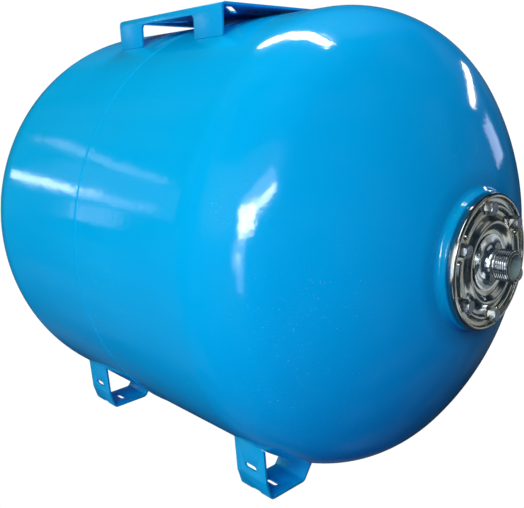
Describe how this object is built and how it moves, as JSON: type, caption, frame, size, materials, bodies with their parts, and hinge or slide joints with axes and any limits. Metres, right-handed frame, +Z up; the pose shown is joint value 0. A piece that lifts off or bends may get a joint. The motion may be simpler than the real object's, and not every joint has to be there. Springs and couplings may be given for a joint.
{
  "type": "well pressure tank",
  "caption": "Horizontal welded pressure tank with dished ends, a bolted flange with a threaded water connection, strip feet and a pump bracket on top.",
  "frame": {"origin": "on the floor, under the middle of the bounding box", "axes": "+X along the tank's axis towards the flanged water connection, +Z up, -Y towards the side the picture shows"},
  "size_m": [0.7998, 0.5524, 0.5687],
  "materials": {
    "paint": "gloss",
    "bare_steel": "matte",
    "zinc": "passivated",
    "bright_zinc": "bright",
    "rubber": "matte",
    "brass": "satin",
    "black_plastic": "matte"
  },
  "bodies": {
    "vessel": {"front_shell": "paint", "rear_shell": "paint", "girth_weld": "paint", "pump_bracket": "paint", "foot_front_near": "paint", "foot_front_far": "paint", "foot_rear_near": "paint", "foot_rear_far": "paint", "neck_ring": "bare_steel", "membrane": "rubber", "flange": "zinc", "connection_nipple": "bright_zinc", "flange_bolt_1": "bright_zinc", "flange_bolt_2": "bright_zinc", "flange_bolt_3": "bright_zinc", "flange_bolt_4": "bright_zinc", "flange_bolt_5": "bright_zinc", "flange_bolt_6": "bright_zinc", "valve_stem": "brass", "valve_nut": "brass", "valve_core": "brass", "valve_seal": "rubber"},
    "cap": {"valve_cap": "black_plastic"},
    "pin": {"valve_pin": "brass"}
  },
  "joints": [
    {"name": "valve_cap_slide", "type": "slide", "parent": "vessel", "child": "cap", "axis": [-1, 0, 0], "range_m": [0, 0.014]},
    {"name": "valve_pin_press", "type": "slide", "parent": "vessel", "child": "pin", "axis": [1, 0, 0], "range_m": [0, 0.0012], "stiffness_N_per_m": 400}
  ]
}
